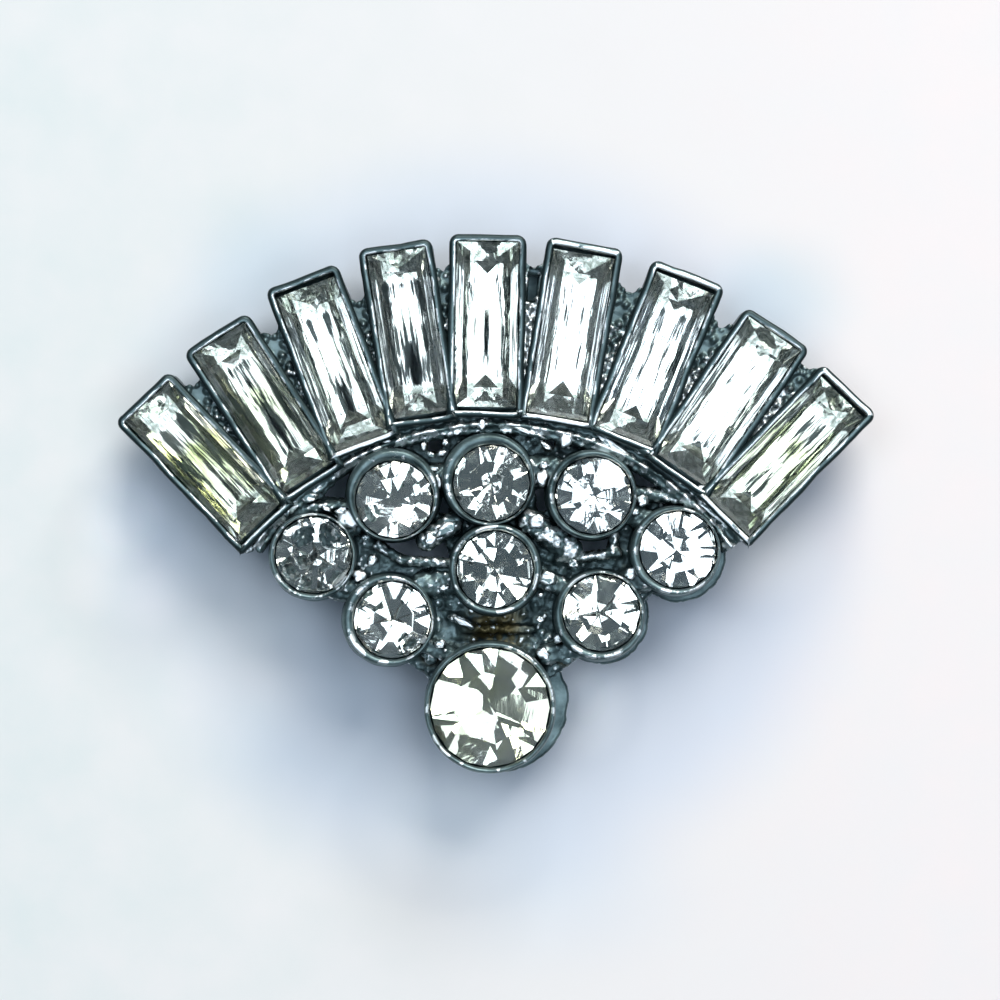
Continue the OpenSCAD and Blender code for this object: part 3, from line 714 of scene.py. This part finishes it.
# the back of a cup: radius past the cup's, height. The large one has a round boss: radius, height
FOOT = [(0.04, UNDERSIDE), (0.1, 2.27), (0.1, 3.08), (0.06, 3.18), (0.0, 3.26)]
LARGE_FOOT = [(0, 0), (1.62, 0), (1.7, 0.07), (2.28, 1.15), (2.84, 2.16), (2.97, 2.3), (3.0, 2.5)]
STONE_PLAY = 0.05
LEDGE = 0.32
for number, ((x, y), radius, offset, shine) in enumerate(CUPS + [LARGE_CUP]):
    large = number == len(CUPS)
    stone, top, girdle, floor_at = (2.7, 6.0, 5.45, 2.95) if large else (1.74, 5.5, 5.05, 3.4)
    bore, ledge = stone + STONE_PLAY, girdle - 0.17 * stone - 0.02
    foot = LARGE_FOOT if large else [(0, UNDERSIDE)] + [(radius + past, z) for past, z in FOOT]
    profile = foot + [(radius, 4.2)] + [(radius - share * (radius - bore), top - drop) for share, drop in RIM]
    profile += [(bore, ledge), (stone - LEDGE, ledge), (stone - LEDGE, floor_at), (0, floor_at)]
    bm = new_cast()
    points = [bm.verts.new((r, 0, z)) for r, z in profile]
    lines = [bm.edges.new(pair) for pair in zip(points, points[1:])]
    bmesh.ops.spin(
        bm, geom=points + lines, cent=(0, 0, 0), axis=(0, 0, 1), angle=math.tau, steps=96, use_merge=True,
    )
    finish_mesh(bm)
    wear_and_light_layer = bm.verts.layers.float["rubbed"]
    for v in bm.verts:
        share = min(1.0, max(0.0, (radius - v.co.xy.length) / (radius - bore)))
        if v.co.z > top - 0.06:
            v[wear_and_light_layer] = shine + 0.95 * noise.noise(v.co * 1.1 + Vector((x, y, 0)))
        v.co += Vector((offset[0] * share + x, offset[1] * share + y, 0))
        wave = 0.04 * share * (1 - share) * noise.noise_vector(v.co * 0.8)
        if v.co.z > 2.6:
            wave += 0.02 * noise.noise_vector(v.co * 1.5)
        v.co += wave
    cast_piece("cast_cup_large" if large else f"cast_cup_{number + 1}", bm)

# Openwork floor: a thin pierced plate under the cups, with the rough struts and polished nubs that the mould left
# between them. The plate is cut through where paper shows.
PLATE_LOW, PLATE_HIGH = 2.32, 3.1
STRUT_FOOT = 2.4
# the plate and its struts are melted into one at this grain
VOXEL = 0.09
FLOOR_OUTLINE = [
    (-9.2, -1.6), (-8.9, 0.8), (-5.5, 3.0), (0, 4.0), (5.5, 3.0), (8.9, 0.8), (9.2, -1.6),
    (5.9, -5.6), (0.8, -9.2), (-1.4, -9.2), (-5.9, -5.9),
]
GAPS = [
    [(-5.3, -1.7), (-4.6, -1.4), (-2.3, -1.7), (-2.1, -2.5), (-3.2, -2.75), (-4.2, -2.5)],
    [(3.4, -1.5), (5.3, -1.5), (5.1, -2.4), (3.4, -2.4)],
    [(-8, 0.3), (-6.5, 1.9), (-6.3, 0.2)],
    [(-3.15, 2.95), (-2.5, 2.95), (-2.5, 2.35), (-3.15, 2.35)],
    [(2.2, 3.05), (2.7, 3.05), (2.7, 2.45), (2.2, 2.45)],
    [(6.1, 1.7), (6.7, 1.8), (7.6, 0.7), (6.5, 0.7)],
    [(-2.75, 0.3), (-2.15, 0.3), (-2.15, -0.6), (-2.75, -0.4)],
    [(1.75, 0.7), (2.35, 0.7), (2.35, -0.4), (1.9, -0.4)],
]
# Struts: start, end, width, height of the top, share of bright granules
STRUTS = [
    ((-9.3, -0.1), (-8.9, -1.4), 1.2, 4.5, 0.35), ((-9, -0.2), (-6.4, -0.05), 0.45, 4.4, 0.5),
    ((-7.6, -1.6), (-5.7, -0.5), 0.9, 4.6, 0.35), ((-3.1, 1.2), (-2.2, 1.2), 1.1, 4.7, 0.5),
    ((1.6, 1.5), (2.6, 1.5), 1.3, 4.7, 0.4), ((6, -0.3), (7, -0.9), 1.0, 4.6, 0.4),
    ((6.2, 0.5), (9.2, 0.2), 0.6, 4.5, 0.8), ((-7.3, -3.8), (-6.2, -4), 1.2, 4.6, 0.4),
    ((-3.3, -3.7), (-1.7, -3.5), 1.2, 4.2, 0.15), ((1.8, -3.4), (3.1, -3.8), 0.8, 4.6, 0.35),
    ((6.2, -3.5), (6.8, -3.4), 1.2, 4.4, 0.5), ((-4.1, -6.2), (-2.1, -6.9), 0.7, 4.6, 0.6),
    ((2.3, -6.9), (3.8, -6.6), 0.9, 4.4, 0.3), ((-3.2, -1.7), (-2, -0.9), 0.9, 4.7, 0.9),
    ((1.5, -0.8), (3.4, -2.1), 1.1, 4.7, 1.0), ((-5.4, -1.9), (-4.3, -2.6), 0.4, 4.5, 1.0),
    ((-4.3, -2.6), (-2, -2.75), 0.4, 4.5, 1.0), ((2.9, -2.6), (5.5, -2.25), 0.4, 4.4, 0.9),
    ((5.3, -2.2), (5.4, -1.4), 0.4, 4.3, 0.8), ((-2, -5.2), (-1.1, -5.6), 0.35, 4.0, 1.0),
    ((-1.5, -5.75), (1.6, -5.75), 0.4, 3.5, 0.1),
]
# Olive and brown tarnish: middle and radius
STAINS = [
    ((0.0, -5.8), 1.9), ((-3.0, -6.9), 0.7), ((3.15, -7.0), 0.6), ((-2.85, 2.65), 0.5), ((4.3, -1.8), 1.0),
    ((-7.6, -3.9), 0.8), ((2.4, 2.7), 0.4),
]


def prism(bm, outline, low, high):
    """An upright block of a flat outline."""
    corners = [bm.verts.new((x, y, low)) for x, y in outline]
    up = bmesh.ops.extrude_face_region(bm, geom=bmesh.ops.contextual_create(bm, geom=corners)["faces"])["geom"]
    bmesh.ops.translate(bm, vec=(0, 0, high - low), verts=verts_of(up))
    bmesh.ops.recalc_face_normals(bm, faces=bm.faces)


bm = bmesh.new()
prism(bm, FLOOR_OUTLINE, PLATE_LOW, PLATE_HIGH)
floor_plate = place("floor_plate", bm, [])
bm = bmesh.new()
for outline in GAPS:
    prism(bm, outline, PLATE_LOW - 0.82, PLATE_HIGH + 0.9)
cutter = place("floor_cutter", bm, [])
cut = floor_plate.modifiers.new("gaps", "BOOLEAN")
cut.operation = "DIFFERENCE"
cut.object = cutter
bm = bmesh.new()
bm.from_object(floor_plate, bpy.context.evaluated_depsgraph_get())
to_millimetres(bm)
for start, end, width, top, _ in STRUTS:
    start, end = Vector(start), Vector(end)
    run = end - start
    bar = bmesh.new()
    bmesh.ops.create_cube(bar, size=1)
    bmesh.ops.scale(bar, vec=(run.length + width, width, top - STRUT_FOOT), verts=bar.verts)
    round_edges(bar, upright_edges(bar), 0.48 * width, 5)
    high_edges = [e for e in bar.edges if e.calc_face_angle(0) > 1.2 and min(v.co.z for v in e.verts) > 0.3]
    round_edges(bar, high_edges, 0.3 * width, 3)
    bring(bar, (*(start + end) / 2, (top + STRUT_FOOT) / 2), math.atan2(run.y, run.x))
    join(bm, bar)
rough_floor = place("floor_rough", bm, [])
melt = rough_floor.modifiers.new("melt", "REMESH")
melt.mode = "VOXEL"
melt.voxel_size = VOXEL * MM
soften = rough_floor.modifiers.new("soften", "SMOOTH")
soften.iterations = 3
bm = new_cast()
bm.from_object(rough_floor, bpy.context.evaluated_depsgraph_get())
for spare in (floor_plate, cutter, rough_floor):
    bpy.data.objects.remove(spare)
to_millimetres(bm)
wear_and_light_layer = bm.verts.layers.float["rubbed"]
stain = bm.verts.layers.float["tarnish"]
bm.normal_update()
for v in bm.verts:
    flat = v.co.xy
    grain = noise.voronoi(v.co / 0.3)[0][0]
    if v.co.z > 2.5:
        v.co += v.normal * (0.2 * (0.45 - grain))
        v[wear_and_light_layer] = 1.1 * (1 - 2.0 * grain) * (0.78 + noise.noise(v.co * 0.7))
    v.co += 0.03 * noise.noise_vector(v.co * 1.4) * (1.0 if v.co.z > 2.5 else 0.2)
    for start, end, width, top, share in STRUTS:
        if v.co.z > top - 0.35:
            start, end = Vector(start), Vector(end)
            run = end - start
            t = min(1.0, max(0.0, (flat - start).dot(run) / run.length_squared))
            if (flat - start - t * run).length < width / 2:
                v[wear_and_light_layer] = max(v[wear_and_light_layer], share * (1.3 - 1.4 * grain))
    for at, radius in STAINS:
        if 2.7 < v.co.z < 4:
            v[stain] = max(v[stain], min(1.0, 1.6 * (1 - (flat - Vector(at)).length / radius)))
cast_piece("cast_openwork", bm)

# Nubs and ridges: lumps that the mould left standing between the cups. They are cast in one with the openwork, stand
# proud of it and so are polished white on top by wear.
# Rows: middle, half length, half width, turn in degrees, height of the top, shine
NUBS = [
    ((-6.62, -0.75), 0.56, 0.42, -20, 5.0, 1.1), ((-7.05, -0.35), 0.3, 0.18, 30, 4.9, 0.9),
    ((-9.6, -0.31), 0.28, 0.25, 0, 4.9, 0.9), ((-9.64, 0.34), 0.18, 0.16, 0, 4.8, 0.9),
    ((-8.5, 0.27), 0.42, 0.22, 10, 4.8, 0.8), ((-7.75, -0.24), 0.24, 0.1, -30, 4.8, 0.7),
    ((-7.09, -3.51), 0.55, 0.36, 60, 4.9, 1.1), ((-6.22, -3.3), 0.32, 0.28, 0, 4.9, 1.1),
    ((-5.93, -1.55), 0.2, 0.13, 10, 4.8, 0.7), ((-5.64, -2.57), 0.3, 0.2, 70, 4.7, 0.9),
    ((-3.02, -1.62), 0.27, 0.25, 0, 5.0, 0.9), ((-2.25, -1.15), 0.5, 0.3, 35, 4.9, 0.55),
    ((-2.69, 0.92), 0.38, 0.2, 85, 4.9, 1.1), ((-2.8, 1.58), 0.24, 0.1, 0, 4.8, 0.8),
    ((-0.65, 3.6), 0.26, 0.2, 70, 4.95, 1.1), ((-4.98, 2.85), 0.22, 0.13, 20, 4.8, 0.9),
    ((-2.36, -3.84), 0.22, 0.13, 15, 4.8, 1.0), ((3.16, 2.92), 0.4, 0.3, 65, 4.95, 1.1),
    ((2.27, 2.63), 0.3, 0.11, -40, 4.75, 1.0), ((3.78, 2.96), 0.13, 0.1, 0, 4.8, 0.9),
    ((4.44, 2.85), 0.18, 0.12, 80, 4.8, 0.9), ((5.3, 2.62), 0.85, 0.19, -33, 4.85, 1.0),
    ((6.65, 2.34), 0.33, 0.13, -12, 4.8, 1.0), ((1.5, 3.25), 0.8, 0.12, -20, 4.85, 0.75),
    ((2.1, 1.15), 0.38, 0.26, 80, 4.9, 1.0), ((2.17, 1.75), 0.2, 0.18, 0, 4.9, 0.9),
    ((1.85, -0.83), 0.4, 0.32, 20, 5.0, 1.0), ((6.66, 0.14), 0.27, 0.24, 10, 4.9, 1.0),
    ((6.35, -0.39), 0.2, 0.15, 0, 4.8, 0.8), ((9.4, 0.63), 0.3, 0.2, -30, 4.9, 1.0),
    ((7.55, 1.15), 0.9, 0.14, -28, 4.6, 0.7), ((10.1, -0.57), 1.2, 0.15, -38, 4.75, 0.9),
    ((3.5, -2.75), 0.25, 0.2, 0, 4.9, 0.9), ((2.35, -3.4), 0.42, 0.34, -20, 4.95, 1.1),
    ((2.15, -6.85), 0.34, 0.25, -30, 4.8, 1.0), ((2.85, -6.15), 0.26, 0.18, 20, 4.9, 0.9),
    ((-3.3, -6.2), 0.3, 0.2, -30, 4.9, 1.0), ((-2.55, -6.4), 0.26, 0.2, 0, 4.9, 0.9),
    ((6.1, -3.2), 0.32, 0.22, 60, 4.8, 1.0), ((2.0, -5.27), 0.17, 0.14, 0, 4.6, 0.9),
    ((2.04, -4.17), 0.12, 0.1, 0, 4.7, 0.9), ((-4.0, -7.05), 0.13, 0.11, 0, 4.6, 0.9),
    ((-11.3, -2.0), 0.3, 0.22, 30, 4.4, 0.8), ((-11.9, -1.6), 0.26, 0.2, 0, 4.4, 0.8),
    ((-1.78, 3.25), 0.2, 0.14, 10, 4.8, 0.8), ((3.2, -6.95), 0.4, 0.36, 0, 4.3, 0.3),
    ((-3.0, -6.93), 0.38, 0.34, 0, 4.2, 0.3), ((-1.53, -5.42), 0.5, 0.13, -25, 4.3, 1.0),
    ((-3.3, 2.62), 0.2, 0.13, 80, 4.6, 0.6), ((-3.12, 3.03), 0.2, 0.13, 40, 4.6, 0.9),
    ((-2.62, 3.1), 0.22, 0.14, -15, 4.6, 1.0), ((-2.33, 2.78), 0.18, 0.15, 80, 4.6, 0.7),
    ((-2.48, 2.3), 0.2, 0.14, 20, 4.6, 1.0), ((-2.98, 2.22), 0.2, 0.12, -20, 4.6, 0.6),
]
bm = new_cast()
for row, ((x, y), long, wide, turn, top, shine) in enumerate(NUBS):
    lump = new_cast()
    bmesh.ops.create_icosphere(lump, subdivisions=3, radius=1)
    wear_and_light_layer = lump.verts.layers.float["rubbed"]
    for v in lump.verts:
        bulge = 1 + 0.5 * noise.noise(v.co * 1.7 + Vector((3 * row, 0, 0)))
        crest = top - 0.3 * max(0.0, 0.55 - v.co.z) if v.co.z > 0 else top - 0.165 + (top - PLATE_HIGH) * v.co.z
        crest += 0.05 * noise.noise(v.co * 2.5 + Vector((0, 0, row)))
        v[wear_and_light_layer] = shine + 0.8 * noise.noise(v.co * 1.9 + Vector((0, 5 * row, 0))) if v.co.z > 0.25 else 0.0
        v.co = Vector((v.co.x * long * bulge, v.co.y * wide * bulge, crest))
    bring(lump, (x, y, 0), math.radians(turn))
    join(bm, lump)
cast_piece("cast_nubs", bm)

# Flanges of the back: thin flash round three cups, broken off unevenly, that shows past their lower right sides.
# Rows: middle, radius
FLANGES = [((8.35, -2.35), 2.2), ((4.85, -5.2), 2.18), ((0.05, -9.05), 3.3)]
FLANGE_THICKNESS, FLANGE_HEIGHT = 0.62, 2.54
for number, ((x, y), radius) in enumerate(FLANGES):
    bm = new_cast()
    bmesh.ops.create_cone(
        bm, cap_ends=True, segments=120, radius1=radius, radius2=radius, depth=FLANGE_THICKNESS,
    )
    round_edges(bm, [e for e in bm.edges if e.calc_face_angle(0) > 1], 0.12, 2)
    for v in bm.verts:
        way = v.co.xy.normalized()
        torn = noise.noise(Vector((way.x * 4, way.y * 4, number)))
        torn += 0.5 * noise.noise(Vector((way.x * 11, way.y * 11, number)))
        v.co.xy *= 1 + 0.05 * min(0.0, torn) + 0.012 * max(0.0, torn)
    bmesh.ops.translate(bm, vec=(x, y, FLANGE_HEIGHT), verts=bm.verts)
    finish_mesh(bm)
    cast_piece(f"cast_flange_{number + 1}", bm)

# Pin on the back: a bar with a hinge knuckle, a rolled catch and a straight stem, stamped of brass and plated.
# It is soldered under the boxes. The stem lies in its catch, all as one plain piece.
# plated brass, dulled: grey, darkened brown in the corners by grime and painted shade, and fine scratches along the bar
brass = new_material("plated_brass_dulled_painted_shade")
where = add(brass, "TexCoord")
drawn = add(brass, "VectorMath", {0: (where, "Object"), 1: [1.0, 12.0, 12.0]}, operation="MULTIPLY")
scratches = add(brass, "TexNoise", {"Vector": (drawn, "Vector"), "Scale": 900.0, "Detail": 3.0})
blooms = add(brass, "TexNoise", {
    "Vector": (where, "Object"), "Scale": 500.0, "Detail": 4.0, "Roughness": 0.6,
})
bloom = add(brass, "MapRange", {"Value": (blooms, "Fac"), "From Min": 0.42, "From Max": 0.62})
# grime and painted shade: darker brown within 0.6 mm of a corner
corner = add(brass, "AmbientOcclusion", {"Distance": 0.6 * MM}, samples=6)
hollow_tarnish_and_shade = add(brass, "MapRange", {"Value": (corner, "AO"), "From Min": 0.3, "From Max": 0.9})
plate = mix(brass, (bloom, "Result"), "#A9A79C", "#8B8068")
tone = mix(brass, (hollow_tarnish_and_shade, "Result"), "#3B3126", (plate, MIXED))
rough = add(brass, "MapRange", {
    "Value": (scratches, "Fac"), "From Min": 0.3, "From Max": 0.7, "To Min": 0.22, "To Max": 0.42,
})
relief = add(brass, "Bump", {"Height": (scratches, "Fac"), "Strength": 0.25, "Distance": 0.02 * MM})
skin = add(brass, "BsdfPrincipled", {
    "Base Color": (tone, MIXED), "Metallic": 1.0, "Roughness": (rough, "Result"), "Normal": (relief, "Normal"),
})
add(brass, "OutputMaterial", {"Surface": (skin, "BSDF")})
bm = bmesh.new()
bm.from_mesh(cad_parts["pin_back"].data)
to_millimetres(bm)
bmesh.ops.remove_doubles(bm, verts=bm.verts, dist=1e-3)
bmesh.ops.dissolve_limit(bm, angle_limit=math.radians(1), verts=bm.verts, edges=bm.edges)
corners = [e for e in bm.edges if e.is_manifold and e.calc_face_angle(0) > math.radians(50)]
bmesh.ops.bevel(
    bm, geom=[e for e in corners if e.calc_length() > 0.4], offset=0.08, segments=2, profile=0.5,
    affect="EDGES", material=-1, clamp_overlap=True,
)
finish_mesh(bm)
pin = place("pin_bar", bm, [brass])
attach(pin, "root")
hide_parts("pin_back")
